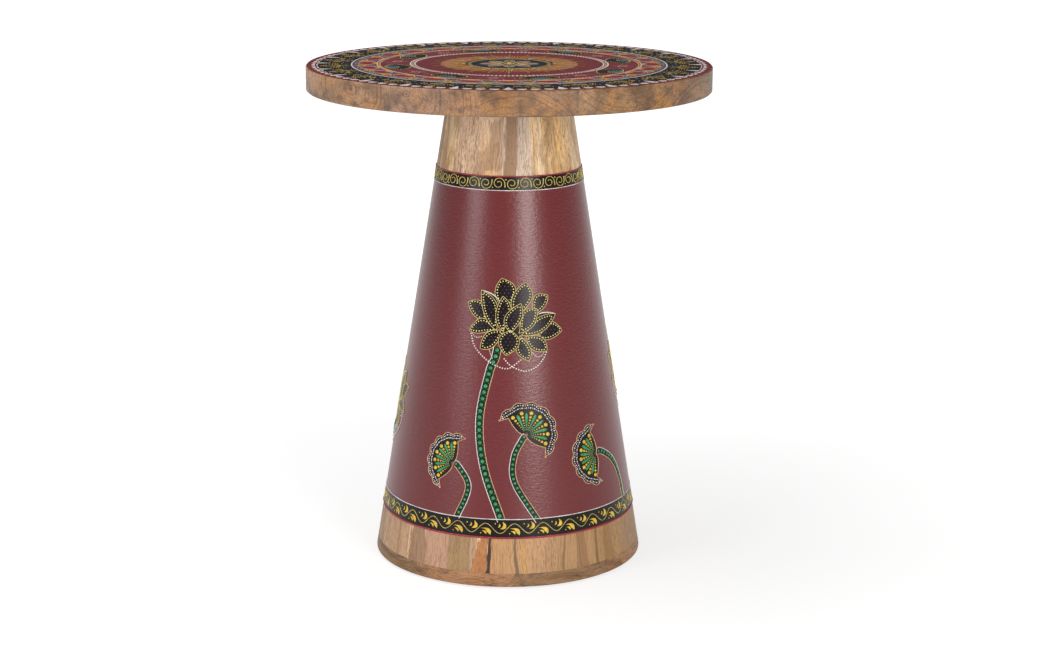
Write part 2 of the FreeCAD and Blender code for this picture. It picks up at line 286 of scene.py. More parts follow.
def satin_paint(name, colour, deeper, ridge, stretch, shine=0.5):
    """Brushed satin paint: low ridges and deeper shades, whose sizes along X, Y and Z the stretch gives.

    Sizes are millimetres. Ridge is how high the ridges are, and shine how much light is thrown back."""
    material, tree, shader = new_material(name)
    place = node(tree, "TexCoord", {}, {}).outputs["Object"]
    along = node(tree, "VectorMath", {"operation": "MULTIPLY"},
                 {0: place, 1: [1 / (MM * size) for size in stretch]}).outputs[0]
    bristles = node(tree, "TexNoise", {}, {"Vector": along, "Scale": 1.0, "Detail": 3.0}).outputs["Fac"]
    cloud = node(tree, "TexNoise", {}, {"Vector": place, "Scale": 9.0, "Detail": 3.0}).outputs["Fac"]
    depth = node(tree, "Math", {"operation": "MULTIPLY_ADD"}, {0: cloud, 1: 0.35, 2: bristles}).outputs[0]
    shade = node(tree, "MapRange", {}, {0: depth, 1: 0.42, 2: 0.92, 3: 0.0, 4: 1.0}).outputs[0]
    tint = node(tree, "Mix", {"data_type": "RGBA"},
                {0: shade, 6: linear(deeper), 7: linear(colour)}).outputs[2]
    tree.links.new(tint, shader.inputs["Base Color"])
    sheen = node(tree, "MapRange", {}, {0: bristles, 1: 0.3, 2: 0.7, 3: 0.3, 4: 0.33}).outputs[0]
    tree.links.new(sheen, shader.inputs["Roughness"])
    shader.inputs["Specular IOR Level"].default_value = shine
    ridges = node(tree, "Bump", {}, {"Strength": 0.8, "Distance": ridge * MM, "Height": bristles})
    tree.links.new(ridges.outputs[0], shader.inputs["Normal"])
    return material


def finish_piece(piece, material):
    """Hangs a finished paint piece on the table."""
    piece.data.materials.clear()
    piece.data.materials.append(material)
    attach(piece, "root")
    return piece


def thicken(piece, depth):
    """Gives the active piece a depth in millimetres, down from its outside, so that it is closed."""
    film = piece.modifiers.new("film", "SOLIDIFY")
    film.thickness = depth * MM
    film.offset = -1.0
    bpy.ops.object.modifier_apply(modifier="film")


def cone_skin(name, foot, head, lift, material):
    """A thin coat round the cone between two heights, standing a little way off the wood."""
    bpy.ops.object.select_all(action="DESELECT")
    bpy.ops.mesh.primitive_cone_add(
        vertices=256, radius1=(cone_radius(foot) + lift) * MM, radius2=(cone_radius(head) + lift) * MM,
        depth=(head - foot) * MM, end_fill_type="NOTHING", location=(0, 0, (foot + head) / 2 * MM))
    coat = bpy.context.object
    coat.name = name
    bpy.ops.object.transform_apply(location=True, rotation=True, scale=True)
    bpy.ops.object.mode_set(mode="EDIT")
    bpy.ops.mesh.select_all(action="SELECT")
    bpy.ops.mesh.subdivide(number_cuts=1)
    bpy.ops.object.mode_set(mode="OBJECT")
    thicken(coat, lift)
    bpy.ops.object.shade_smooth_by_angle(angle=math.radians(40))
    return finish_piece(coat, material)


maroon = satin_paint("satin_paint_maroon_brushed", "#6F2528", "#6A2225", 0.36, (4.4, 4.4, 2.1))
cone_skin("cone_ground_coat", COAT_FOOT, COAT_HEAD, COAT_LIFT, maroon)


# Black borders of the cone
# Two bands of black paint, one under the collar and one above the bare foot, brushed over the edges of the
# ground coat.

UPPER_BAND = (432.9, 447.1)
LOWER_BAND = (56.8, 75.8)
BORDER_LIFT = 0.2
black = satin_paint("satin_paint_black_brushed", "#1A1513", "#0D0A09", 0.03, (120, 120, 1.2), shine=0.25)
cone_skin("upper_border_ground", *UPPER_BAND, BORDER_LIFT, black)
cone_skin("lower_border_ground", *LOWER_BAND, BORDER_LIFT, black)


# Lines that edge the borders
# Red and white lines drawn by hand with a cone of thick paint while the table turned, so they waver a little.

def piping_paint(name, colour, deeper, shine=0.5):
    """Thick acrylic squeezed from a cone: a glossy raised line, with colour that pools along it."""
    material, tree, shader = new_material(name)
    place = node(tree, "TexCoord", {}, {}).outputs["Object"]
    pooling = node(tree, "TexNoise", {}, {"Vector": place, "Scale": 260.0, "Detail": 2.0}).outputs["Fac"]
    share = node(tree, "MapRange", {}, {0: pooling, 1: 0.35, 2: 0.65, 3: 0.0, 4: 1.0}).outputs[0]
    tint = node(tree, "Mix", {"data_type": "RGBA"},
                {0: share, 6: linear(deeper), 7: linear(colour)}).outputs[2]
    tree.links.new(tint, shader.inputs["Base Color"])
    shader.inputs["Roughness"].default_value = 0.38
    shader.inputs["Specular IOR Level"].default_value = shine
    return material


def on_cone(flat, turn, height, lift):
    """Wraps flat points, in millimetres right and up from a centre, onto the cone, and gives their normals.

    The cone unrolls without stretch, so a flat drawing keeps its sizes."""
    flat = np.asarray(flat, float)
    centre = (CONE_APEX - height) / math.cos(HALF_ANGLE)
    slant = np.hypot(flat[..., 0], centre - flat[..., 1])
    fan = np.arctan2(flat[..., 0], centre - flat[..., 1])
    angle = math.radians(turn) + fan / math.sin(HALF_ANGLE)
    radius = slant * math.sin(HALF_ANGLE)
    tall = CONE_APEX - slant * math.cos(HALF_ANGLE)
    normal = np.stack([np.sin(angle) * math.cos(HALF_ANGLE), -np.cos(angle) * math.cos(HALF_ANGLE),
                       np.full_like(angle, math.sin(HALF_ANGLE))], axis=-1)
    point = np.stack([radius * np.sin(angle), -radius * np.cos(angle), tall], axis=-1)
    return point + normal * np.asarray(lift, float)[..., None], normal


def close_seams():
    """Joins the points of the active piece that lie on each other, so that seams and tips are closed."""
    bpy.ops.object.mode_set(mode="EDIT")
    bpy.ops.mesh.select_all(action="SELECT")
    bpy.ops.mesh.remove_doubles(threshold=0.001 * MM)
    bpy.ops.object.mode_set(mode="OBJECT")


def pick(piece):
    """Selects one piece alone and makes it the active one."""
    bpy.ops.object.select_all(action="DESELECT")
    piece.select_set(True)
    bpy.context.view_layer.objects.active = piece


def piped_lines(name, lines, material):
    """Raised lines of paint: each is a run of points, the half width at each, and whether its ends meet."""
    curve = bpy.data.curves.new(name, "CURVE")
    curve.dimensions = "3D"
    curve.bevel_depth = MM
    curve.bevel_resolution = 1
    curve.use_fill_caps = True
    for points, half_width, closed in lines:
        spline = curve.splines.new("POLY")
        spline.points.add(len(points) - 1)
        spline.points.foreach_set("co", np.c_[np.asarray(points) * MM, np.ones(len(points))].ravel())
        spline.points.foreach_set("radius", np.broadcast_to(half_width, len(points)).astype(float))
        spline.use_cyclic_u = closed
    piece = bpy.data.objects.new(name, curve)
    bpy.context.collection.objects.link(piece)
    pick(piece)
    bpy.ops.object.convert(target="MESH")
    piece = bpy.context.object
    close_seams()
    bpy.ops.object.shade_smooth_by_angle(angle=math.radians(60))
    return finish_piece(piece, material)


def level_line(height, half_width, waver, seed):
    """A line right round the cone that wavers up and down as a hand does."""
    angle = np.linspace(0, 2 * math.pi, 720, endpoint=False)
    wobble = sum(np.sin(k * angle + seed * k) / k ** 0.5 for k in (3, 7, 11, 17, 29))
    tall = height + waver * wobble / 3
    radius = cone_radius(tall) + BORDER_LIFT
    width = half_width * (1 + 0.16 * np.sin(13 * angle + seed) + 0.12 * np.sin(37 * angle + 2 * seed))
    return np.stack([radius * np.sin(angle), -radius * np.cos(angle), tall], axis=-1), width, True


white_paint = piping_paint("acrylic_piping_white", "#F3ECE8", "#DCD2CE")
red_paint = piping_paint("acrylic_piping_red", "#B43443", "#922634")
piped_lines("border_white_lines", [level_line(UPPER_BAND[0] - 0.4, 0.5, 0.3, 1),
                                   level_line(LOWER_BAND[1] + 0.5, 0.52, 0.35, 2)],
            white_paint)
piped_lines("border_red_lines", [level_line(UPPER_BAND[1] + 0.4, 0.75, 0.35, 3),
                                 level_line(LOWER_BAND[0] - 0.6, 0.85, 0.3, 4)],
            red_paint)


# Scrolls of the upper border
# Curls of pale gold paint that turn over and under by turns, with a bead of paint between each two.

SCROLLS = 36
SCROLL_TURN = 3
scroll_step = 360 / SCROLLS
upper_middle = sum(UPPER_BAND) / 2
gold_paint = piping_paint("acrylic_piping_gold", "#DCCB72", "#B9A046")


def paint_bead():
    """A drop of thick paint, modelled once: a low dome with a flat back.

    The resize is about its middle, so its back is a quarter of its radius above the place it is given."""
    bpy.ops.object.select_all(action="DESELECT")
    bpy.ops.mesh.primitive_uv_sphere_add(segments=8, ring_count=6, radius=1.0)
    drop = bpy.context.object
    bpy.ops.object.mode_set(mode="EDIT")
    bpy.ops.mesh.select_all(action="SELECT")
    bpy.ops.mesh.bisect(plane_co=(0, 0, -0.01), plane_no=(0, 0, 1), use_fill=True, clear_inner=True)
    bpy.ops.mesh.select_all(action="SELECT")
    bpy.ops.transform.resize(value=(1, 1, 0.5))
    bpy.ops.object.mode_set(mode="OBJECT")
    corners = np.array([v.co for v in drop.data.vertices])
    faces = [list(p.vertices) for p in drop.data.polygons]
    bpy.data.objects.remove(drop)
    return corners, faces


BEAD_CORNERS, BEAD_FACES = paint_bead()


def paint_beads(name, beads, material):
    """Copies of the drop of paint: each is a place, the way that it faces and its radius in millimetres."""
    place = np.array([b[0] for b in beads], float)
    facing = np.array([b[1] for b in beads], float)
    radius = np.array([b[2] for b in beads], float)
    aside = np.cross(facing, np.where(np.abs(facing[:, 2:]) > 0.4, (1.0, 0, 0), (0, 0, 1.0)))
    aside /= np.linalg.norm(aside, axis=1, keepdims=True)
    third = np.cross(facing, aside)
    third /= np.linalg.norm(third, axis=1, keepdims=True)
    corners = (place[:, None] + radius[:, None, None] * (
        BEAD_CORNERS[None, :, :1] * aside[:, None] + BEAD_CORNERS[None, :, 1:2] * third[:, None]
        + BEAD_CORNERS[None, :, 2:] * facing[:, None]))
    count = len(BEAD_CORNERS)
    faces = [[corner + count * bead for corner in face] for bead in range(len(beads)) for face in BEAD_FACES]
    mesh = bpy.data.meshes.new(name)
    mesh.from_pydata((corners.reshape(-1, 3) * MM).tolist(), [], faces)
    mesh.shade_smooth()
    piece = bpy.data.objects.new(name, mesh)
    bpy.context.collection.objects.link(piece)
    return finish_piece(piece, material)


# One curl, in flat millimetres from its middle: it winds out once and a half and rises in a tail with a
# thick tip
wind = np.linspace(0, 1, 36)
curl_angle = np.radians(217 + 509 * wind)
curl_reach = (1.8 + 4.9 * wind)[:, None]
curl_way = np.stack([np.cos(curl_angle), np.sin(curl_angle)], axis=-1)
curl_line = np.concatenate([curl_way * curl_reach - (0.7, 0), [(6.2, 2.6), (6.2, 4.2)]])
curl_width = np.interp(np.linspace(0, 1, len(curl_line)), [0, 0.06, 0.9, 1], [0.6, 0.48, 0.5, 0.8])
scroll_lines, scroll_beads = [], []
for curl in range(SCROLLS):
    flip = 1 if curl % 2 == 0 else -1
    turn = SCROLL_TURN + curl * scroll_step
    points, _ = on_cone(curl_line * (1, flip), turn, upper_middle, BORDER_LIFT)
    scroll_lines.append((points, curl_width, False))
    bead, facing = on_cone((7.0, -4.4 * flip), turn, upper_middle, BORDER_LIFT)
    scroll_beads.append((bead, facing, 0.8))
piped_lines("upper_border_scrolls", scroll_lines, gold_paint)
paint_beads("upper_border_beads", scroll_beads, gold_paint)


# Vine of the lower border
# A waving stem of gold paint, and in each bend a fat yellow leaf, a small one and a bead, left by a loaded
# brush. A trim of small red beads hangs from the red line under it.

WAVES = 28
VINE_SWING = 5.4
FILM = 0.1
wave_step = 360 / WAVES
lower_middle = sum(LOWER_BAND) / 2
yellow_paint = piping_paint("acrylic_piping_yellow", "#EBCB45", "#CFA52C")
vine = []
for angle in np.linspace(0, 360, WAVES * 20, endpoint=False):
    swing = VINE_SWING * math.sin(math.radians(angle * WAVES))
    point, _ = on_cone((0, swing), angle, lower_middle, BORDER_LIFT)
    vine.append(point)
piped_lines("lower_border_vine", [(np.array(vine), 0.42, True)], gold_paint)


def paint_films(name, films, material):
    """Closed films of paint: each is a grid of points, in millimetres, already laid on the surface."""
    corners, faces, start = [], [], 0
    for film in films:
        rows, columns = film.shape[:2]
        corners.append(film.reshape(-1, 3))
        number = start + np.arange(rows * columns).reshape(rows, columns)
        quads = np.stack([number[:-1, :-1], number[:-1, 1:], number[1:, 1:], number[1:, :-1]], axis=-1)
        faces += quads.reshape(-1, 4).tolist()
        start += rows * columns
    mesh = bpy.data.meshes.new(name)
    mesh.from_pydata((np.concatenate(corners) * MM).tolist(), [], faces)
    piece = bpy.data.objects.new(name, mesh)
    bpy.context.collection.objects.link(piece)
    pick(piece)
    close_seams()
    thicken(piece, FILM)
    bpy.ops.object.shade_smooth_by_angle(angle=math.radians(60))
    return finish_piece(piece, material)


def brush_stroke(line, width):
    """Points across a stroke of a loaded brush, from left to right, and how high the paint stands there."""
    ahead = np.gradient(np.asarray(line, float), axis=0)
    ahead /= np.linalg.norm(ahead, axis=1, keepdims=True)
    aside = np.stack([-ahead[:, 1], ahead[:, 0]], axis=-1)
    across = np.array((1, 0.6, 0, -0.6, -1))
    rise = 0.05 + 0.35 * (1 - across ** 2)
    return line[:, None] + aside[:, None] * width[:, None, None] * across[:, None], rise


def brush_leaf(start, bend, end, fat, fat_at=0.5):
    """A leaf left by one stroke: thin where it starts, fat further on and drawn to a point."""
    share = np.linspace(0, 1, 11)[:, None]
    start, bend, end = np.array((start, bend, end), float)
    line = (1 - share) ** 2 * start + 2 * share * (1 - share) * bend + share ** 2 * end
    swell = np.sin(math.pi * share[:, 0] ** (math.log(0.5) / math.log(fat_at)))
    return brush_stroke(line, 0.15 + fat * swell)


VINE_LEAVES = {
    # In a dip of the vine and under a crest of it: where each stroke starts, bends and ends, how fat it is
    # and where, and the place of the bead
    0.75: ([((3.0, 7.4), (8.2, 0.8), (0.4, -0.4), 1.75, 0.5),
            ((-1.0, 5.4), (0.9, 2.2), (-2.4, 1.4), 0.7, 0.5)], (-5.2, 5.2)),
    0.25: ([((-5.0, -0.2), (3.6, 0.9), (5.4, -7.2), 2.0, 0.68),
            ((-4.2, -3.0), (0.2, -3.0), (0.6, -6.6), 1.0, 0.62)], (-5.4, -5.6)),
}
leaf_films, leaf_beads = [], []
for wave in range(WAVES):
    for share, (leaves, bead_place) in VINE_LEAVES.items():
        turn = (wave + share) * wave_step
        for leaf in leaves:
            grid, rise = brush_leaf(*leaf)
            leaf_films.append(on_cone(grid, turn, lower_middle, BORDER_LIFT + rise)[0])
        bead, facing = on_cone(bead_place, turn, lower_middle, BORDER_LIFT)
        leaf_beads.append((bead, facing, 0.75))
paint_films("lower_border_leaves", leaf_films, yellow_paint)
paint_beads("lower_border_beads", leaf_beads, yellow_paint)
red_trim = []
for turn in np.arange(0, 360, 0.9):
    trim_bead, facing = on_cone((0, 0), turn, LOWER_BAND[0] - 1.6, 0.05)
    red_trim.append((trim_bead, facing, 0.6))
paint_beads("lower_border_red_trim", red_trim, red_paint)


# Lotus flowers
# Each flower is fifteen petals of black paint, laid from the back to the front. Every petal has a piped straw
# outline, a row of lemon beads inside it and mauve and crimson specks. Swags of white beads hang below.

LOTUS_PETALS = [
    # Heart end and tip, in flat millimetres from the heart of the flower, then the swell to the left and to
    # the right of the line between them, and how far along it each swell is widest
    ((-5, 18), (-10.5, 58.5), 9.5, 13.5, 0.6, 0.66), ((22, 16), (41, 39.5), 11.5, 5, 0.66, 0.6),
    ((5.5, 12), (15.4, 54), 10.5, 11, 0.5, 0.66), ((-24, 6), (-48.5, 32.5), 5, 12, 0.6, 0.68),
    ((28, -6), (58.5, 0.5), 13, 6, 0.58, 0.45), ((-16, 2.5), (-47, 1.2), 3.5, 13, 0.66, 0.52),
    ((16, -5), (40, -21.3), 8.8, 8.2, 0.56, 0.5), ((9.5, -4), (19.3, -32), 6, 9.6, 0.6, 0.52),
    ((-8, 1), (-34.5, -18.6), 7, 9.5, 0.62, 0.5), ((-16, 2), (-33, 45.5), 6.6, 10.4, 0.42, 0.58),
    ((-8.8, 1), (-9.3, 39), 8.2, 8.8, 0.42, 0.62), ((11, -4), (50, 19), 7, 8.6, 0.55, 0.5),
    ((8, -1.5), (28, 25), 10.5, 8, 0.64, 0.5), ((0, -0.5), (10.3, 31), 12, 6, 0.38, 0.55),
    ((-1.4, 1), (-6, -26), 12, 11, 0.42, 0.44)]
# Two petals have a turned edge: a black rim with a white line, swelling further to one side
TURNED_EDGES = {9: (0, 14.2), 11: (10.6, 0)}
SWAGS = [
    # Radius of the beads and the gap between them, then the points that the swag hangs through
    (0.92, 2.9, [(-45, -2), (-41, -16), (-29, -29.5), (-15, -38), (-3, -40), (10, -31)]),
    (0.92, 2.9, [(-8, -29.5), (-1, -37), (14, -43.2), (27, -39), (35.5, -30), (39, -23)]),
    (0.62, 2.0, [(-43.5, -2), (-40.5, -5.3), (-36.5, -6.4), (-33, -5.2)]),
    (0.62, 2.0, [(23.5, -23), (27.6, -27.6), (32.8, -26.8), (36, -23.5)]),
    (0.62, 2.0, [(-24.3, -20), (-22.7, -25), (-21, -29)])]
FRONT_HEIGHT = 280.6
# Angle and height of each flower's heart, and -1 for a mirrored flower: front, right, back and left
LOTUS_PLACES = [(2, FRONT_HEIGHT, 1), (101, 203, 1), (184, FRONT_HEIGHT, 1), (-91, 171, -1)]
HEART_LIFT = 0.16
PETAL_LIFT = 0.18
PETAL_STEP = 0.035


def evenly(line, gap):
    """The same line with its points a steady gap apart."""
    walked = np.concatenate([[0], np.cumsum(np.linalg.norm(np.diff(line, axis=0), axis=1))])
    stops = np.linspace(0, walked[-1], max(2, int(round(walked[-1] / gap)) + 1))
    return np.stack([np.interp(stops, walked, line[:, axis]) for axis in range(line.shape[1])], axis=-1)


def smooth_run(points, gap):
    """A smooth line through given points, with its own points a steady gap apart."""
    points = np.asarray(points, float)
    ends = np.concatenate([[2 * points[0] - points[1]], points, [2 * points[-1] - points[-2]]])
    share = np.linspace(0, 1, 24, endpoint=False)[:, None]
    run = []
    for a, b, c, d in zip(ends, ends[1:], ends[2:], ends[3:]):
        run.append(0.5 * (2 * b + (c - a) * share + (2 * a - 5 * b + 4 * c - d) * share ** 2
                          + (3 * b - a - 3 * c + d) * share ** 3))
    return evenly(np.concatenate(run + [points[-1:]]), gap)


def inside(points, outline):
    """Which of the points lie inside a closed flat outline."""
    x, y = points[:, 0:1], points[:, 1:2]
    start, end = outline, np.roll(outline, -1, axis=0)
    crosses = (start[:, 1] > y) != (end[:, 1] > y)
    rise = np.where(np.abs(end[:, 1] - start[:, 1]) < 1e-9, 1e-9, end[:, 1] - start[:, 1])
    reach = start[:, 0] + (y - start[:, 1]) * (end[:, 0] - start[:, 0]) / rise
    return (crosses & (x < reach)).sum(axis=1) % 2 == 1


def petal_grid(heart, tip, left, right, left_at=0.5, right_at=0.5, inset=0.0):
    """Points from a petal's heart end to its tip, and across it from its left edge to its right."""
    heart, tip = np.array(heart, float), np.array(tip, float)
    ahead = (tip - heart) / np.linalg.norm(tip - heart)
    aside = np.array((-ahead[1], ahead[0]))
    share = np.linspace(0, 1, 25)
    ribs = []
    sides = ((1, left, left_at), (0.5, left, left_at), (0, 0, 0.5),
             (-0.5, right, right_at), (-1, right, right_at))
    for step, swell, at in sides:
        half = swell * np.sin(math.pi * share ** (math.log(0.5) / math.log(at))) ** 0.85
        half = np.maximum(half - inset, 0) * step
        ribs.append(heart + share[:, None] * (tip - heart) + aside * half[:, None])
    return np.stack(ribs, axis=1)


def petal_edge(grid):
    """The closed outline of a petal; ends too thin to hold paint are left out."""
    wide = grid[np.linalg.norm(grid[:, 0] - grid[:, -1], axis=1) > 1.2]
    return np.concatenate([wide[:, 0], wide[::-1, -1]])


def shown(points, covers):
    """Which points no later petal covers."""
    hidden = np.zeros(len(points), bool)
    for cover in covers:
        hidden |= inside(points, cover)
    return ~hidden


def runs_of(line, kept):
    """The unbroken stretches of a line whose points are kept."""
    cuts = np.flatnonzero(np.diff(kept.astype(int))) + 1
    return [run for run, use in zip(np.split(line, cuts), np.split(kept, cuts)) if use[0] and len(run) > 2]


lotus_films, lotus_outlines, lotus_glints = [], [], []
flower_heart = petal_grid((-15, -1), (17, -3), 9, 9)
lotus_beads, lotus_mauve, lotus_red, lotus_white = [], [], [], []
petal_grids = [petal_grid(*petal) for petal in LOTUS_PETALS]
petal_outlines = [np.concatenate([grid[:, 0], grid[::-1, -1]]) for grid in petal_grids]
for turn, height, hand in LOTUS_PLACES:
    mirror = np.array((hand, 1))
    lotus_films.append(on_cone(flower_heart[:, ::hand] * mirror, turn, height, HEART_LIFT)[0])
    for layer, (petal, grid, outline) in enumerate(zip(LOTUS_PETALS, petal_grids, petal_outlines)):
        lift = PETAL_LIFT + PETAL_STEP * layer
        covers = petal_outlines[layer + 1:]
        lotus_films.append(on_cone(grid[:, ::hand] * mirror, turn, height, lift)[0])
        if layer in TURNED_EDGES:
            left, right = TURNED_EDGES[layer]
            rim = petal_grid(*petal[:2], max(left, 0.1), max(right, 0.1), *petal[4:])
            lotus_films.append(on_cone(rim[:, ::hand] * mirror, turn, height, lift - 0.01)[0])
            edge = evenly(rim[8:, 0 if left else -1], 0.9)
            for run in runs_of(edge, shown(edge, covers)):
                width = np.interp(np.linspace(0, 1, len(run)), [0, 0.4, 1], [0.35, 0.85, 0.4])
                lotus_glints.append((on_cone(run * mirror, turn, height, lift)[0], width, False))
        line = evenly(outline, 0.9)
        for run in runs_of(line, shown(line, covers)):
            lotus_outlines.append((on_cone(run * mirror, turn, height, lift)[0], 0.42, False))
        row = evenly(petal_edge(petal_grid(*petal, inset=2.5)), 3.1)
        for place, facing in zip(*on_cone(row[shown(row, covers)] * mirror, turn, height, lift)):
            lotus_beads.append((place, facing, 0.8))
        heart_of_petal = petal_edge(petal_grid(*petal, inset=4.0))
        low, high = heart_of_petal.min(axis=0), heart_of_petal.max(axis=0)
        specks = np.array([(x + 2.2 * (k % 2), y) for k, y in enumerate(np.arange(low[1], high[1], 3.6))
                           for x in np.arange(low[0] - 2.2, high[0], 4.4)])
        specks = specks[inside(specks, heart_of_petal) & shown(specks, covers)]
        for count, (place, facing) in enumerate(zip(*on_cone(specks * mirror, turn, height, lift))):
            (lotus_red if count % 3 == 1 else lotus_mauve).append((place, facing, 0.55))
    for radius, gap, points in SWAGS:
        for place, facing in zip(*on_cone(smooth_run(points, gap) * mirror, turn, height, 0.2)):
            lotus_white.append((place, facing, radius))
petal_black = satin_paint("satin_paint_black_petals", "#160D0F", "#0D0708", 0.03, (6, 6, 6), shine=0.25)
outline_paint = piping_paint("acrylic_piping_straw", "#E8D08C", "#CDB468")
bead_paint = piping_paint("acrylic_piping_lemon", "#F6ECA4", "#E4D67C")
mauve_paint = piping_paint("acrylic_piping_mauve", "#8A6A90", "#6C4C78")
crimson_paint = piping_paint("acrylic_piping_crimson", "#96324A", "#76223A")
paint_films("lotus_petal_fills", lotus_films, petal_black)
piped_lines("lotus_straw_outlines", lotus_outlines, outline_paint)
piped_lines("lotus_white_glints", lotus_glints, white_paint)
paint_beads("lotus_lemon_beads", lotus_beads, bead_paint)
paint_beads("lotus_mauve_specks", lotus_mauve, mauve_paint)
paint_beads("lotus_crimson_specks", lotus_red, crimson_paint)
paint_beads("lotus_white_swags", lotus_white, white_paint)


# Stems and seed pods
# A stem is a strip of bottle green between a white and a peach line, filled with green beads. A pod is a
# black fan with a peach outline: green strokes and rows of growing yellow beads spread from its foot, inside
# a scalloped border of white and grey specks.

STEM_LIFT = 0.15
STEM_START = -17
STEM_END = 76
stem_films, stem_white, stem_peach, stem_beads = [], [], [], []


def paint_stem(path, width, bead, gap, white_side, turn, height):
    """A stem along a flat path: its strip, two edge lines and beads, with specks beside the thick beads."""
    line = smooth_run(path, 1.0)
    grid, _ = brush_stroke(line, np.full(len(line), width / 2))
    stem_films.append(on_cone(grid, turn, height, STEM_LIFT)[0])
    for side, edge in (("left", grid[:, 0]), ("right", grid[:, -1])):
        kept = stem_white if side == white_side else stem_peach
        kept.append((on_cone(edge, turn, height, STEM_LIFT)[0], 0.5, False))
    for stop in np.arange(gap * 0.55, len(line) - 2, gap).astype(int):
        place, facing = on_cone(line[stop], turn, height, STEM_LIFT)
        stem_beads.append((place, facing, bead))
        between_beads = min(stop + int(gap / 2), len(line) - 1)
        if bead > 2:
            for beside in (0.2, 0.8):
                speck = grid[between_beads, 0] * beside + grid[between_beads, -1] * (1 - beside)
                place, facing = on_cone(speck, turn, height, STEM_LIFT)
                stem_beads.append((place, facing, 0.6))


# Flat points from the heart of a flower; a lower flower draws them in, so every stem ends under the border
FRONT_STEM = [(-15, STEM_START), (-18.2, -30), (-24.5, -45), (-35.4, -96), (-30.9, -149), (-11.3, -208.6)]
SIDE_STEM = [(-15, STEM_START), (-10, -30), (0, -48), (16, -96), (22, -149), (18, -208.6)]
for flower, (turn, height, hand) in enumerate(LOTUS_PLACES):
    share = (height - STEM_END) / (FRONT_HEIGHT - STEM_END)
    points = SIDE_STEM if flower % 2 else FRONT_STEM
    path = [(x * hand, STEM_START + (y - STEM_START) * share) for x, y in points]
    paint_stem(path, 8.8, 2.4, 7, "right" if hand > 0 else "left", turn, height)

POD_SIZE = 34
POD_LIFT = 0.18
POD_LOBES = 7
POD_SPAN = 103
POD_SIDE_REACH = (0.05, 0.18, 0.34, 0.52, 0.66, 0.78)
POD_SIDE_ANGLE = (150, 122, 106, 96, 90, 86)
POD_BEADS = ((0.15, 0.35), (0.215, 0.45), (0.285, 0.6), (0.36, 0.8), (0.45, 1.1), (0.55, 1.5), (0.68, 2.3))
pod_films, pod_outlines, pod_strokes = [], [], []
pod_yellow, pod_white, pod_grey = [], [], []


def paint_pod(turn, height, opens, size, spread):
    """A pod whose foot is at a place on the cone, opening in a direction in degrees from the right.

    A spread of 1 lets the horns reach back past the foot. A smaller one draws the pod together like a cup."""
    def fan(reach, angle):
        """Flat points at shares of the pod's size from its foot, and angles from the way it opens."""
        way = np.radians(opens + spread * np.asarray(angle, float))
        return np.stack([np.cos(way), np.sin(way)], axis=-1) * np.asarray(reach, float)[..., None] * size

    def scallop(angle):
        """How far the scalloped edge reaches at an angle, as a share of the size."""
        return 0.94 + 0.08 * np.abs(np.sin(np.radians((angle + 98) / 196 * 180 * POD_LOBES)))

    across = np.linspace(1, -1, 17)
    reach = np.array(POD_SIDE_REACH)
    angle = np.array(POD_SIDE_ANGLE)
    heart = fan(np.repeat(reach[:, None], 17, axis=1), angle[:, None] * across)
    pod_films.append(on_cone(heart, turn, height, 0.17)[0])
    sweep = np.linspace(POD_SPAN, -POD_SPAN, 127)
    inner = 0.74 + 0.22 * np.clip((np.abs(sweep) - 84) / (POD_SPAN - 84), 0, 1) ** 1.3
    border = np.stack([inner + (scallop(sweep) - inner) * step for step in (0, 0.5, 1)], axis=0)
    pod_films.append(on_cone(fan(border, sweep), turn, height, POD_LIFT)[0])
    horn = np.abs(sweep) >= angle[-1]
    side = smooth_run(np.concatenate([fan(reach, angle), fan(inner, sweep)[horn & (sweep > 0)][::-1]]), 0.9)
    other = smooth_run(np.concatenate([fan(reach, -angle), fan(inner, sweep)[horn & (sweep < 0)]]), 0.9)
    outline = np.concatenate([side, fan(scallop(sweep), sweep), other[::-1]])
    pod_outlines.append((on_cone(evenly(outline, 0.9), turn, height, POD_LIFT)[0], 0.5, True))
    for lobe, way in enumerate(np.linspace(-78, 78, POD_LOBES)):
        for place_along, radius in POD_BEADS:
            place, facing = on_cone(fan(place_along, way), turn, height, POD_LIFT)
            pod_yellow.append((place, facing, radius * size / POD_SIZE))
        if lobe < POD_LOBES - 1:
            stroke = fan(np.linspace(0.12, 0.68, 10), np.full(10, way + 78 / (POD_LOBES - 1)))
            width = np.interp(np.linspace(0, 1, 10), [0, 0.8, 0.93, 1], [0.25, 1.65, 1.4, 0.5])
            width *= size / POD_SIZE
            grid, rise = brush_stroke(stroke, width)
            pod_strokes.append(on_cone(grid, turn, height, POD_LIFT + rise)[0])
    for row, share in enumerate((0.25, 0.68)):
        for count, way in enumerate(np.arange(-94 + 2 * row, 95, 4.6)):
            low = 0.78 + 0.18 * np.clip((abs(way) - 84) / (POD_SPAN - 84), 0, 1)
            place, facing = on_cone(fan(low + (scallop(way) - low) * share, way), turn, height, POD_LIFT)
            (pod_white if (count + row) % 2 else pod_grey).append((place, facing, 0.85 * size / POD_SIZE))


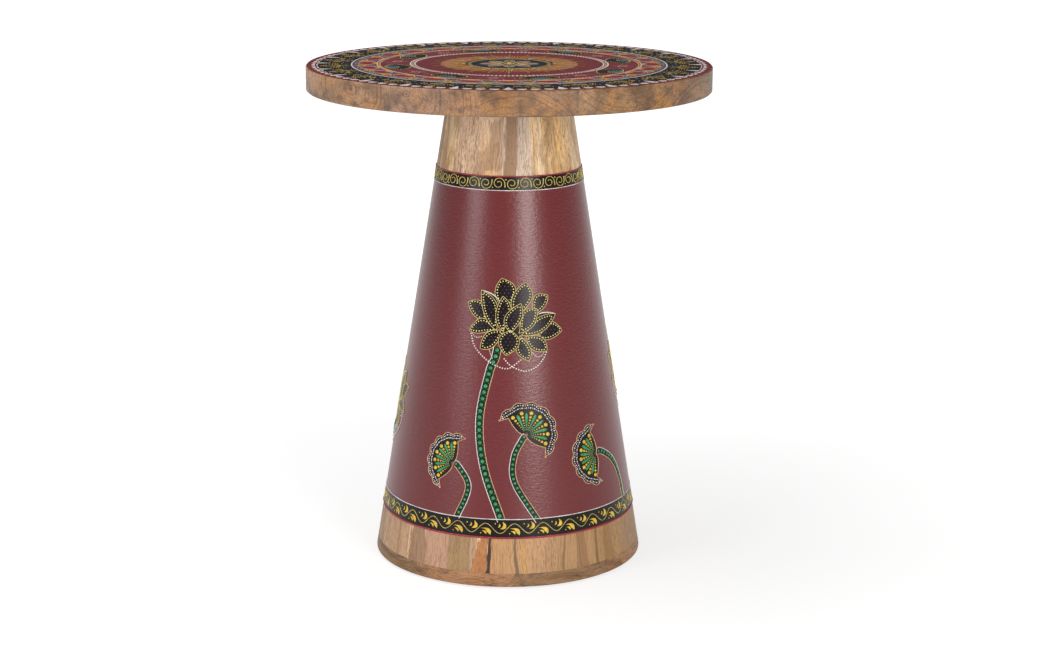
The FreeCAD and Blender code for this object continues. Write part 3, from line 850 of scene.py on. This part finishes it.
POD_STEMS = [
    # Angle and height of the pod's foot, the way it opens, its size and spread, the side of its stem's white
    # line, and the stem's path
    (-27.6, 133.4, 155, 33.5, 0.88, "left", [(3, 0), (7, -1.6), (19.4, -17), (20.2, -32), (10.1, -58.6)]),
    (9.5, 169.0, 50, 35, 1.0, "right", [(-1, -2), (-4.6, -5.4), (-14.6, -25.6), (-14, -53.8), (11.3, -96.8)]),
    (48.3, 136.4, 184, 34.5, 0.95, "left", [(3, 1.5), (10, 1), (30.4, -12.3), (43.7, -33.8), (49.6, -61.6)])]
for turn_on, chosen in ((0, (0, 1, 2)), (157, (0,)), (182, (0, 1, 2))):
    for turn, height, opens, size, spread, white_side, path in (POD_STEMS[k] for k in chosen):
        paint_pod(turn + turn_on, height, opens, size, spread)
        paint_stem(path, 6.8, 1.65, 5.4, white_side, turn + turn_on, height)
peach_paint = piping_paint("acrylic_piping_peach", "#E6BC90", "#CC9868")
green_paint = piping_paint("acrylic_piping_green", "#3E9C66", "#257C4A")
silver_paint = piping_paint("acrylic_piping_grey", "#B9B3B4", "#8E898C")
stem_green = satin_paint("satin_paint_bottle_green", "#102C1C", "#081C10", 0.03, (6, 6, 6), shine=0.25)
paint_films("stem_grounds", stem_films, stem_green)
piped_lines("stem_white_edges", stem_white, white_paint)
piped_lines("stem_peach_edges", stem_peach, peach_paint)
paint_beads("stem_green_beads", stem_beads, green_paint)
paint_films("pod_grounds", pod_films, petal_black)
piped_lines("pod_peach_outlines", pod_outlines, peach_paint)
paint_films("pod_green_strokes", pod_strokes, green_paint)
paint_beads("pod_yellow_beads", pod_yellow, yellow_paint)
paint_beads("pod_white_specks", pod_white, white_paint)
paint_beads("pod_grey_specks", pod_grey, silver_paint)


# Head plate, its screws, and the dowels of the top
# A plain disc of wood let into the staves, screws up into the top, and hardwood rods across the board joints.

plate_wood = mango_wood("mango_wood_planed_plate", (0, -60, 524), grain_turn((1, 0, 0), (0, 0, 1)),
                        ("#D2AC7E", "#B58A5C", "#8A6440", "#C49A68"), ring_gap=6.0, seed=40)
wear(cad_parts["head_plate"], plate_wood)
wear(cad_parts["top_screws"], screw_zinc)
dowel_wood = mango_wood("hardwood_rod_turned", (0, 0, 530), grain_turn((1, 0, 0), (0, 0, 1)),
                        ("#DDBE92", "#C9A272", "#9C7648", "#D2AE7C"), ring_gap=3.0, seed=41)
wear(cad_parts["board_dowels"], dowel_wood)


# Boards of the top
# Five boards of mango wood, edge-glued and turned to a disc. They run from front to back, so the rim shows
# end grain with growth rings at the front and back, and long grain at the sides.

BOARDS = [
    # Place of the pith across and up, the tones, the gap between rings, and the radius of a dark pith
    (-158, 546, ("#C0946E", "#A27A58", "#4E382B", "#C48C56"), 2.2, 2.6),
    (-98.5, 546, ("#B88E70", "#9C765A", "#4A362B", "#BA885C"), 2.4, 1.3),
    (10, 480, ("#AA8058", "#8C6644", "#3E2C1E", "#B87E42"), 2.8, 0),
    (128, 590, ("#B0865C", "#8E6A48", "#402E21", "#BC8448"), 2.4, 0),
    (215, 510, ("#AA8260", "#8A6848", "#3C2C21", "#B07C4A"), 2.6, 0)]
for board, (across, tall, tones, ring_gap, heart) in enumerate(BOARDS, start=1):
    wood = mango_wood(f"mango_wood_turned_board_{board}", (across, 0, tall), grain_turn((0, 1, 0), (1, 0, 0)),
                      tones, ring_gap=ring_gap, seed=board + 50, waver=12, speck=0.4,
                      blotch=0.035, broad=1.7, figure=0.9, heart=heart)
    wear(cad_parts[f"top_board_{board}"], wood)


# Ground coat of the top
# The same satin maroon, brushed over the upper face as the disc turned.

TOP_FACE = 560.0
TOP_COAT = 223.9
TOP_SHINE = 0.008
bpy.ops.object.select_all(action="DESELECT")
bpy.ops.mesh.primitive_circle_add(vertices=256, radius=TOP_COAT * MM, fill_type="NGON",
                                  location=(0, 0, (TOP_FACE + FILM) * MM))
top_coat = bpy.context.object
top_coat.name = "top_ground_coat"
bpy.ops.object.transform_apply(location=True, rotation=True, scale=True)
bpy.ops.object.mode_set(mode="EDIT")
bpy.ops.mesh.select_all(action="SELECT")
bpy.ops.mesh.inset(thickness=60 * MM)
bpy.ops.object.mode_set(mode="OBJECT")
thicken(top_coat, FILM)
top_maroon = satin_paint("satin_paint_maroon_top", "#7A2A30", "#6C2329", 0.04, (9, 9, 9), shine=TOP_SHINE)
finish_piece(top_coat, top_maroon)


# Edge strokes of the top
# Short curved strokes of white paint along the maroon margin, and finer ones that edge the black ring
# inside them.

EDGE_STROKES = 96
BEAD_LIFT = 0.2
# The way that a bead on the top faces; its half length makes the bead half as high
FLAT_BEAD = (0, 0, 0.5)


def round_the_top(flat, count, lift, start=0.0):
    """Copies of flat points, set evenly round the top, at a lift in millimetres above the wood.

    The points are millimetres to the right and outward, for someone at the middle who looks out."""
    flat = np.asarray(flat, float)
    right, outward = flat[..., 0], flat[..., 1]
    tall = np.broadcast_to(TOP_FACE + np.asarray(lift, float), flat.shape[:-1])
    copies = []
    for turn in np.radians(start + 360 / count * np.arange(count)):
        copies.append(np.stack([outward * math.sin(turn) - right * math.cos(turn),
                                -outward * math.cos(turn) - right * math.sin(turn), tall], axis=-1))
    return copies


def beads_on_top(flat, radius, count, start=0.0):
    """Low beads at each flat point, and the copies of them round the top."""
    flat = np.atleast_2d(np.asarray(flat, float))
    radius = np.broadcast_to(radius, len(flat))
    return [(place, FLAT_BEAD, size) for copy in round_the_top(flat, count, BEAD_LIFT, start)
            for place, size in zip(copy, radius)]


def ring_line(reach, half_width):
    """A line right round the top."""
    return np.concatenate(round_the_top([(0, reach)], 360, BEAD_LIFT)).reshape(-1, 3), half_width, True


def lines_on_top(name, lines, material):
    """Lines of paint on the top, wider than they are high: each is as for a piped line."""
    films = []
    for points, half_width, closed in lines:
        points = np.concatenate([points[-1:], points, points[:2]]) if closed else np.asarray(points)
        grid, rise = brush_stroke(points[:, :2], np.broadcast_to(half_width, len(points)))
        film = np.concatenate([grid, (points[:, 2:] + 0.5 * rise)[..., None]], axis=-1)
        films.append(film[1:-1] if closed else film)
    return paint_films(name, films, material)


def ring_film(inner, outer, lift):
    """A flat ring of paint on the top."""
    grid = np.array(round_the_top([(0, inner), (0, (inner + outer) / 2), (0, outer)], 240, lift))
    return np.concatenate([grid, grid[:1]])


edge_strokes = []
for ends, bulge, fat in ((214.8, 219.0, 1.8), (212.2, 212.8, 0.7)):
    grid, rise = brush_leaf((-5, ends), (0, bulge), (5, ends), fat)
    edge_strokes += round_the_top(grid, EDGE_STROKES, 0.16 + 0.5 * rise)
paint_films("top_edge_strokes", edge_strokes, white_paint)


# Black ring of the top
# A ring of black paint with white thorns along its outer edge. Between each two thorns a loaded brush left a
# sprig of olive, green and gold leaves, with flowers of orange and gold beads, and grey beads about it.

SPRIGS = 24
SPRIG_TURN = 180 / SPRIGS
BLACK_RING = (174.5, 212.8)


def top_paint(name, colour, deeper):
    """Satin paint of a small ground on the top: almost without shine, mottled in patches 8 mm across."""
    return satin_paint(name, colour, deeper, 0.03, (8, 8, 8), shine=TOP_SHINE)


def straight_out(near, far, count):
    """Flat points in a row, straight out from the middle of the top."""
    return np.stack([np.zeros(count), np.linspace(near, far, count)], axis=-1)


top_black = top_paint("satin_paint_black_top", "#151110", "#0B0908")
olive_paint = piping_paint("acrylic_piping_olive", "#B09A54", "#8A7638", shine=TOP_SHINE)
leaf_paint = piping_paint("acrylic_piping_leaf", "#7C8266", "#5C624A", shine=TOP_SHINE)
orange_paint = piping_paint("acrylic_piping_orange", "#D68A3E", "#B4682A", shine=TOP_SHINE)
thorn = petal_grid((0, 213), (0, 199), 3.2, 3.2, 0.14, 0.14)
olive_leaves, green_leaves, gold_leaves = [], [], []
for side in (-1, 1):
    for tall, kept in ((180, green_leaves), (186.5, gold_leaves), (193, olive_leaves)):
        bend, tip = (5.5 * side, tall + 0.5), (8.5 * side, tall + 6)
        grid, rise = brush_leaf((0.5 * side, tall), bend, tip, 0.62, 0.55)
        kept += round_the_top(grid, SPRIGS, 0.12 + 0.5 * rise, SPRIG_TURN)
sprig_stems = round_the_top(straight_out(176.5, 204, 8), SPRIGS, 0.12, SPRIG_TURN)
sprig_lines = [(stem, 0.35, False) for stem in sprig_stems]
flower_ring = [(3.2 * math.cos(k * math.pi / 3), 3.2 * math.sin(k * math.pi / 3)) for k in range(6)]
sprig_gold, sprig_orange = [], []
for centre in ((0, 205.5), (-15, 192), (15, 192)):
    sprig_orange += beads_on_top([centre], 1.7, SPRIGS, SPRIG_TURN)
    sprig_gold += beads_on_top(np.array(flower_ring) + centre, 0.75, SPRIGS, SPRIG_TURN)
sprig_grey = beads_on_top([(5.5, 202.5), (-5.5, 202.5), (12, 180), (-12, 180), (20.5, 198), (-20.5, 198),
                           (18.5, 184), (-18.5, 184)], 0.9, SPRIGS, SPRIG_TURN)
sprig_orange += beads_on_top([(11, 198.5), (-11, 198.5), (0, 178.5)], 0.95, SPRIGS, SPRIG_TURN)
paint_films("top_black_ring", [ring_film(*BLACK_RING, 0.14)], top_black)
paint_films("top_white_thorns", round_the_top(thorn, SPRIGS, 0.2), white_paint)
paint_films("top_olive_leaves", olive_leaves, olive_paint)
paint_films("top_green_leaves", green_leaves, leaf_paint)
paint_films("top_gold_leaves", gold_leaves, gold_paint)
lines_on_top("top_sprig_stems", sprig_lines, olive_paint)
paint_beads("top_sprig_gold_beads", sprig_gold, gold_paint)
paint_beads("top_sprig_orange_beads", sprig_orange, orange_paint)
paint_beads("top_sprig_grey_beads", sprig_grey, silver_paint)


# Petal ring of the top
# A ring of crimson petals with orange and yellow hearts on mauve grey, between a white line and a row of
# peach beads. Grey beads follow the petals, and a yellow star stands between each two.

PETALS = 24
STAR_TURN = 180 / PETALS
STAR_REACH = 164
PETAL_RING = (145.0, 174.5)


def edge_lines(grid, half_width, count, lift):
    """Lines along the edge of a petal, for each of its copies round the top."""
    return [(edge, half_width, True) for edge in round_the_top(evenly(petal_edge(grid), 1.2), count, lift)]


def small_flowers(reach, petals, first, near, far, swell, swell_at, count, start):
    """Small flowers of narrow petals round the top, with their hearts at one reach from its middle."""
    films = []
    for way in np.radians(first + np.arange(0, 360, 360 / petals)):
        ray = np.array((math.cos(way), math.sin(way)))
        petal = petal_grid(ray * near + (0, reach), ray * far + (0, reach), swell, swell, swell_at, swell_at)
        films += round_the_top(petal, count, 0.24, start)
    return films


mauve_ground = top_paint("satin_paint_mauve_grey", "#6E5A66", "#54434F")
crimson_ground = top_paint("satin_paint_crimson", "#962436", "#761828")
orange_ground = top_paint("satin_paint_orange", "#C8772E", "#A85C20")
yellow_ground = top_paint("satin_paint_yellow", "#D9B23C", "#BC9228")
crimson_petal = petal_grid((0, 146), (0, 168), 14, 14)
orange_petal = petal_grid((0, 146), (0, 153), 6.2, 6.2, 0.45, 0.45)
yellow_petal = petal_grid((0, 146), (0, 150), 3.0, 3.0, 0.45, 0.45)
petal_row = evenly(petal_edge(petal_grid((0, 145), (0, 172), 16.4, 16.4)), 3.0)
petal_lines = edge_lines(crimson_petal, 0.4, PETALS, 0.2)
petal_lines.append(ring_line(PETAL_RING[0] - 1.6, 0.7))
yellow_films = round_the_top(yellow_petal, PETALS, 0.24)
yellow_films += small_flowers(STAR_REACH, 6, 30, 1.5, 7, 1.7, 0.4, PETALS, STAR_TURN)
peach_beads = beads_on_top([(0, PETAL_RING[0] + 1.2)], 1.35, 200)
grey_beads = beads_on_top(petal_row, 0.8, PETALS)
star_hearts = beads_on_top([(0, STAR_REACH)], 2.0, PETALS, STAR_TURN)
paint_films("top_petal_ground", [ring_film(*PETAL_RING, 0.15)], mauve_ground)
paint_films("top_crimson_petals", round_the_top(crimson_petal, PETALS, 0.18), crimson_ground)
paint_films("top_orange_petals", round_the_top(orange_petal, PETALS, 0.21), orange_ground)
paint_films("top_yellow_petals", yellow_films, yellow_ground)
lines_on_top("top_petal_outlines", petal_lines, peach_paint)
paint_beads("top_peach_bead_ring", peach_beads, peach_paint)
lines_on_top("top_white_ring_line", [ring_line(PETAL_RING[1], 0.7)], white_paint)
paint_beads("top_petal_grey_beads", grey_beads, silver_paint)
paint_beads("top_star_hearts", star_hearts, orange_paint)


# Drop band of the top
# Eight black drops with teal hearts on the bare maroon, each edged with straw beads, and pink sprays between
# them. A peach line between two rows of white beads closes the band on the inside.

DROPS = 8
DROP_TURN = 15
SPRAY_TURN = 37.5
BAND_LINE = 107.0
teal_ground = top_paint("satin_paint_teal", "#3A6C84", "#25526A")
pink_paint = piping_paint("acrylic_piping_pink", "#BC888A", "#9C666A", shine=TOP_SHINE)
DROP = ((0, 110.5), (0, 141.5), 24, 24)
TEAL_HEART = ((0, 125), (0, 139), 9, 9)
drop_row = evenly(petal_edge(petal_grid(*DROP, inset=1.9)), 3.0)
heart_row = evenly(petal_edge(petal_grid(*TEAL_HEART, inset=-1.6)), 3.0)
drop_beads = beads_on_top(drop_row, 0.75, DROPS, DROP_TURN) + beads_on_top(heart_row, 0.6, DROPS, DROP_TURN)
spray_beads = []
for reach, tip in ((24, 132), (13, 139), (0, 141), (-13, 139), (-24, 132)):
    run = smooth_run([(0, 113), (reach * 0.35, 122), (reach * 0.9, tip - 7), (reach, tip)], 3.0)
    spray_beads += beads_on_top(run, np.linspace(0.5, 0.95, len(run)), DROPS, SPRAY_TURN)
spray_petals = small_flowers(126, 8, 0, 1.6, 7, 1.5, 0.6, DROPS, SPRAY_TURN)
white_beads = beads_on_top([(0, BAND_LINE + 2.4)], 1.2, 150) + beads_on_top([(0, BAND_LINE - 2.4)], 1.1, 150)
black_drops = round_the_top(petal_grid(*DROP), DROPS, 0.18, DROP_TURN)
teal_hearts = round_the_top(petal_grid(*TEAL_HEART), DROPS, 0.21, DROP_TURN)
paint_films("top_black_drops", black_drops, top_black)
paint_films("top_teal_hearts", teal_hearts, teal_ground)
paint_beads("top_drop_straw_beads", drop_beads, outline_paint)
paint_beads("top_pink_sprays", spray_beads, pink_paint)
paint_films("top_pink_flowers", spray_petals, pink_paint)
lines_on_top("top_peach_band_line", [ring_line(BAND_LINE, 0.6)], peach_paint)
paint_beads("top_white_bead_row", white_beads, white_paint)


# Sunburst of the top
# Rays of orange and olive beads that shrink as they run out from the medallion, fine peach lines between
# them, and blue gems and yellow points at their feet.

RAYS = 72
RAY_STEP = 360 / RAYS
GEMS = 12
gem_paint = piping_paint("acrylic_piping_sky", "#86B4C8", "#5E90AA", shine=TOP_SHINE)
hair_width = np.linspace(0.4, 0.18, 6)
hairs = round_the_top(straight_out(53, 76, 6), RAYS, 0.12, RAY_STEP / 2)
hair_lines = [(hair, hair_width, False) for hair in hairs]
yellow_point = petal_grid((0, 53.5), (0, 63), 2.7, 2.7, 0.38, 0.38)
yellow_points = round_the_top(yellow_point, GEMS, 0.28, RAY_STEP / 2)
blue_gems = beads_on_top([(0, 50.5)], 2.5, GEMS, RAY_STEP / 2)
olive_rays = beads_on_top(straight_out(50, 85, 16), np.linspace(1.4, 0.9, 16), RAYS // 3)
short_ray, short_sizes = straight_out(50, 76, 13), np.linspace(1.15, 0.6, 13)
orange_rays = []
for step in (1, 2):
    orange_rays += beads_on_top(short_ray, short_sizes, RAYS // 3, RAY_STEP * step)
paint_beads("top_orange_rays", orange_rays, orange_paint)
paint_beads("top_olive_rays", olive_rays, olive_paint)
lines_on_top("top_ray_lines", hair_lines, peach_paint)
paint_films("top_yellow_points", yellow_points, yellow_ground)
paint_beads("top_blue_gems", blue_gems, gem_paint)


# Medallion of the top
# A black disc with a plain rosette of beige and dark blue petals, and a rim of straw beads.

ROSETTE = 8
MEDALLION = 45.0
beige_ground = top_paint("satin_paint_beige", "#A2826A", "#866752")
navy_ground = top_paint("satin_paint_navy", "#25344E", "#172338")
beige_petal = petal_grid((0, 8), (0, 33), 6.0, 6.0)
navy_petal = petal_grid((0, 14), (0, 41.5), 8.4, 8.4, 0.6, 0.6)
navy_petals = round_the_top(navy_petal, ROSETTE, 0.18, 180 / ROSETTE)
rosette_lines = edge_lines(beige_petal, 0.22, ROSETTE, 0.24)
rosette_lines.append(ring_line(MEDALLION, 0.4))
veins = beads_on_top(straight_out(12, 31, 8), np.linspace(0.6, 1.1, 8), ROSETTE)
heart_beads = beads_on_top([(0, 0)], 3.0, 1) + beads_on_top([(0, 5)], 1.1, 12)
paint_films("top_medallion_ground", [ring_film(0.5, MEDALLION, 0.15)], top_black)
paint_films("top_navy_petals", navy_petals, navy_ground)
paint_films("top_beige_petals", round_the_top(beige_petal, ROSETTE, 0.22), beige_ground)
lines_on_top("top_rosette_outlines", rosette_lines, outline_paint)
paint_beads("top_rosette_veins", veins, crimson_paint)
paint_beads("top_medallion_rim", beads_on_top([(0, 43)], 0.6, 72), outline_paint)
paint_beads("top_medallion_heart", heart_beads, gold_paint)


# Studio
# A white floor that keeps the table's shadow, two soft boxes in front, one above and an even white surround.
# The camera stands and points as the photograph's did.

bpy.ops.object.select_all(action="DESELECT")
bpy.ops.mesh.primitive_plane_add(size=40, location=(0, 0, 0))
floor = bpy.context.object
floor.name = "floor"
material, tree, shader = new_material("studio_floor_white")
tree.nodes.remove(shader)
paths = node(tree, "LightPath", {}, {})
seen = node(tree, "Math", {"operation": "MAXIMUM"},
            {0: node(tree, "Math", {"operation": "MAXIMUM"},
                     {0: paths.outputs["Is Camera Ray"], 1: paths.outputs["Is Glossy Ray"]}).outputs[0],
             1: paths.outputs["Is Transmission Ray"]}).outputs[0]
card = node(tree, "BsdfDiffuse", {}, {"Color": linear("#DEDEDE")}).outputs[0]
soft_card = node(tree, "BsdfDiffuse", {}, {"Color": linear("#A8A8A8")}).outputs[0]
spot = node(tree, "TexCoord", {}, {}).outputs["Object"]
far = node(tree, "VectorMath", {"operation": "LENGTH"}, {0: spot}).outputs["Value"]
strength = node(tree, "MapRange", {"interpolation_type": "SMOOTHSTEP"},
                {0: far, 1: 0.3, 2: 1.6, 3: 0.71, 4: 1.0}).outputs[0]
glow = node(tree, "Emission", {}, {"Color": (1, 1, 1, 1), "Strength": strength}).outputs[0]
lit = node(tree, "AddShader", {}, {0: soft_card, 1: glow}).outputs[0]
mixed = node(tree, "MixShader", {}, {0: seen, 1: card, 2: lit}).outputs[0]
tree.links.new(mixed, tree.nodes["Material Output"].inputs["Surface"])
floor.data.materials.append(material)


def soft_box(name, place, aim, width, height, watts, tint):
    """A soft box aimed at a point: places and sizes in metres, and its power in watts."""
    data = bpy.data.lights.new(name, "AREA")
    data.shape = "RECTANGLE"
    data.size = width
    data.size_y = height
    data.energy = watts
    data.color = tint
    lamp = bpy.data.objects.new(name, data)
    bpy.context.collection.objects.link(lamp)
    lamp.location = place
    lamp.rotation_euler = (Vector(aim) - Vector(place)).to_track_quat("-Z", "Y").to_euler()


soft_box("soft_box_left", (-1.72, -1.53, 0.9), (0, 0, 0.5), 0.85, 1.0, 15, (0.95, 0.97, 1.0))
soft_box("soft_box_right", (0.99, -2.04, 0.86), (0, 0, 0.5), 0.78, 1.0, 28, (1.0, 0.97, 0.94))
soft_box("soft_box_above", (-0.8, 0.0, 2.5), (0, 0, 0.4), 1.8, 1.8, 25, (1, 1, 1))

world = bpy.data.worlds.new("studio_surround")
bpy.context.scene.world = world
world.use_nodes = True
world.node_tree.nodes["Background"].inputs["Color"].default_value = (1, 1, 1, 1)
world.node_tree.nodes["Background"].inputs["Strength"].default_value = 0.3

camera_data = bpy.data.cameras.new("camera")
camera_data.sensor_width = 36.0
camera_data.lens = 77.34
camera = bpy.data.objects.new("camera", camera_data)
bpy.context.collection.objects.link(camera)
camera.location = (0.0136, -2.4785, 0.8601)
level = Matrix.Rotation(math.radians(76.363), 3, "X") @ Matrix.Rotation(math.radians(0.25), 3, "Z")
camera.rotation_euler = level.to_euler()
bpy.context.scene.camera = camera
bpy.context.scene.view_settings.view_transform = "Standard"
